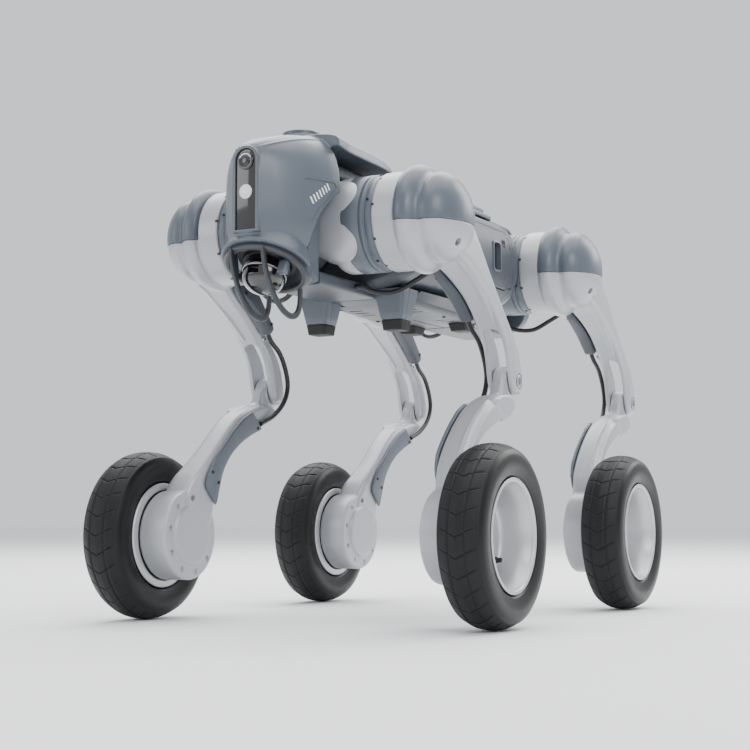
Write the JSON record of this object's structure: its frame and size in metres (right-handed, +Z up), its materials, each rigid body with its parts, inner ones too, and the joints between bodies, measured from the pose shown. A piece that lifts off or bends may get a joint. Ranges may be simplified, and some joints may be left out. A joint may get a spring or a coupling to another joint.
{
  "type": "wheeled quadruped robot",
  "caption": "Four-legged robot with a wheel on each leg, a head with a camera strip and caged scanner, and a side battery.",
  "frame": {"origin": "middle of the bounding box, at floor level under the tyres", "axes": "+X forward through the head, +Y to the robot's left, +Z up"},
  "size_m": [0.6794, 0.4514, 0.499],
  "materials": {
    "shell": "satin blue-grey paint",
    "body": "dark blue-grey moulded plastic",
    "dark": "black moulded plastic",
    "silver": "light silver-grey paint",
    "alloy": "satin cast and turned",
    "gloss_black": "glossy black",
    "rubber": "black rubber",
    "tyre": "black tyre rubber",
    "cable": "black cable sleeve",
    "lamp": "white lamp lens"
  },
  "bodies": {
    "trunk": {"chassis": "body", "head_shell": "shell", "face_window": "gloss_black", "camera_lens": "gloss_black", "face_lamp": "lamp", "top_knob": "shell", "lidar_guard": "shell", "lidar_base": "dark", "belly_pan": "body", "front_foot_left": "shell", "front_foot_right": "shell", "front_tip_left": "rubber", "front_tip_right": "rubber", "rear_tip_left": "rubber", "rear_tip_right": "rubber", "tail_cover": "shell", "deck_plate": "shell"},
    "lidar_rotor_body": {"lidar_rotor": "gloss_black"},
    "battery_body": {"battery": "body"},
    "button_body": {"power_button": "dark"},
    "hip_link_front_left": {"hip_front_left": "shell"},
    "upper_leg_front_left": {"thigh_front_left": "silver", "thigh_cap_front_left": "shell", "thigh_cover_front_left": "body", "hip_cable_front_left": "cable", "knee_cable_front_left": "cable"},
    "lower_leg_front_left": {"calf_front_left": "silver", "calf_cover_front_left": "body"},
    "wheel_front_left": {"rim_front_left": "alloy", "tyre_front_left": "tyre"},
    "hip_link_front_right": {"hip_front_right": "shell"},
    "upper_leg_front_right": {"thigh_front_right": "silver", "thigh_cap_front_right": "shell", "thigh_cover_front_right": "body", "hip_cable_front_right": "cable", "knee_cable_front_right": "cable"},
    "lower_leg_front_right": {"calf_front_right": "silver", "calf_cover_front_right": "body"},
    "wheel_front_right": {"rim_front_right": "alloy", "tyre_front_right": "tyre"},
    "hip_link_rear_left": {"hip_rear_left": "shell"},
    "upper_leg_rear_left": {"thigh_rear_left": "silver", "thigh_cap_rear_left": "shell", "thigh_cover_rear_left": "body", "hip_cable_rear_left": "cable", "knee_cable_rear_left": "cable"},
    "lower_leg_rear_left": {"calf_rear_left": "silver", "calf_cover_rear_left": "body"},
    "wheel_rear_left": {"rim_rear_left": "alloy", "tyre_rear_left": "tyre"},
    "hip_link_rear_right": {"hip_rear_right": "shell"},
    "upper_leg_rear_right": {"thigh_rear_right": "silver", "thigh_cap_rear_right": "shell", "thigh_cover_rear_right": "body", "hip_cable_rear_right": "cable", "knee_cable_rear_right": "cable"},
    "lower_leg_rear_right": {"calf_rear_right": "silver", "calf_cover_rear_right": "body"},
    "wheel_rear_right": {"rim_rear_right": "alloy", "tyre_rear_right": "tyre"}
  },
  "joints": [
    {"name": "front_left_abduction", "type": "hinge", "parent": "trunk", "child": "hip_link_front_left", "pos_m": [0.20093, 0.0456, 0.403], "axis": [1, 0, 0], "range_deg": [-30, 40]},
    {"name": "front_left_thigh", "type": "hinge", "parent": "hip_link_front_left", "child": "upper_leg_front_left", "pos_m": [0.20093, 0.1, 0.403], "axis": [0, 1, 0], "range_deg": [-131, 38], "deforming": ["hip_cable_front_left"]},
    {"name": "front_left_knee", "type": "hinge", "parent": "upper_leg_front_left", "child": "lower_leg_front_left", "pos_m": [0.05509, 0.1481, 0.25023], "axis": [0, -1, 0], "range_deg": [-36, 56], "deforming": ["knee_cable_front_left"]},
    {"name": "front_left_wheel", "type": "hinge", "parent": "lower_leg_front_left", "child": "wheel_front_left", "pos_m": [0.21343, 0.2014, 0.089], "axis": [0, 1, 0], "continuous": true},
    {"name": "front_right_abduction", "type": "hinge", "parent": "trunk", "child": "hip_link_front_right", "pos_m": [0.20093, -0.0456, 0.403], "axis": [1, 0, 0], "range_deg": [-40, 30]},
    {"name": "front_right_thigh", "type": "hinge", "parent": "hip_link_front_right", "child": "upper_leg_front_right", "pos_m": [0.20093, -0.1, 0.403], "axis": [0, 1, 0], "range_deg": [-131, 38], "deforming": ["hip_cable_front_right"]},
    {"name": "front_right_knee", "type": "hinge", "parent": "upper_leg_front_right", "child": "lower_leg_front_right", "pos_m": [0.05509, -0.1481, 0.25023], "axis": [0, -1, 0], "range_deg": [-36, 56], "deforming": ["knee_cable_front_right"]},
    {"name": "front_right_wheel", "type": "hinge", "parent": "lower_leg_front_right", "child": "wheel_front_right", "pos_m": [0.21343, -0.2014, 0.089], "axis": [0, 1, 0], "continuous": true},
    {"name": "rear_left_abduction", "type": "hinge", "parent": "trunk", "child": "hip_link_rear_left", "pos_m": [-0.17807, 0.0456, 0.403], "axis": [1, 0, 0], "range_deg": [-30, 40]},
    {"name": "rear_left_thigh", "type": "hinge", "parent": "hip_link_rear_left", "child": "upper_leg_rear_left", "pos_m": [-0.17807, 0.1, 0.403], "axis": [0, 1, 0], "range_deg": [-38, 158], "deforming": ["hip_cable_rear_left"]},
    {"name": "rear_left_knee", "type": "hinge", "parent": "upper_leg_rear_left", "child": "lower_leg_rear_left", "pos_m": [-0.32391, 0.1481, 0.25023], "axis": [0, -1, 0], "range_deg": [-36, 56], "deforming": ["knee_cable_rear_left"]},
    {"name": "rear_left_wheel", "type": "hinge", "parent": "lower_leg_rear_left", "child": "wheel_rear_left", "pos_m": [-0.16557, 0.2014, 0.089], "axis": [0, 1, 0], "continuous": true},
    {"name": "rear_right_abduction", "type": "hinge", "parent": "trunk", "child": "hip_link_rear_right", "pos_m": [-0.17807, -0.0456, 0.403], "axis": [1, 0, 0], "range_deg": [-40, 30]},
    {"name": "rear_right_thigh", "type": "hinge", "parent": "hip_link_rear_right", "child": "upper_leg_rear_right", "pos_m": [-0.17807, -0.1, 0.403], "axis": [0, 1, 0], "range_deg": [-38, 158], "deforming": ["hip_cable_rear_right"]},
    {"name": "rear_right_knee", "type": "hinge", "parent": "upper_leg_rear_right", "child": "lower_leg_rear_right", "pos_m": [-0.32391, -0.1481, 0.25023], "axis": [0, -1, 0], "range_deg": [-36, 56], "deforming": ["knee_cable_rear_right"]},
    {"name": "rear_right_wheel", "type": "hinge", "parent": "lower_leg_rear_right", "child": "wheel_rear_right", "pos_m": [-0.16557, -0.2014, 0.089], "axis": [0, 1, 0], "continuous": true},
    {"name": "lidar_spin", "type": "hinge", "parent": "trunk", "child": "lidar_rotor_body", "pos_m": [0.29843, 0, 0.352], "axis": [0.4226, 0, -0.9063], "continuous": true},
    {"name": "battery_slide", "type": "slide", "parent": "trunk", "child": "battery_body", "axis": [0, -1, 0], "range_m": [-0.15, 0]},
    {"name": "power_press", "type": "slide", "parent": "battery_body", "child": "button_body", "axis": [0, -1, 0], "range_m": [0, 0.001], "stiffness_N_per_m": 400, "springref_m": -0.002}
  ]
}
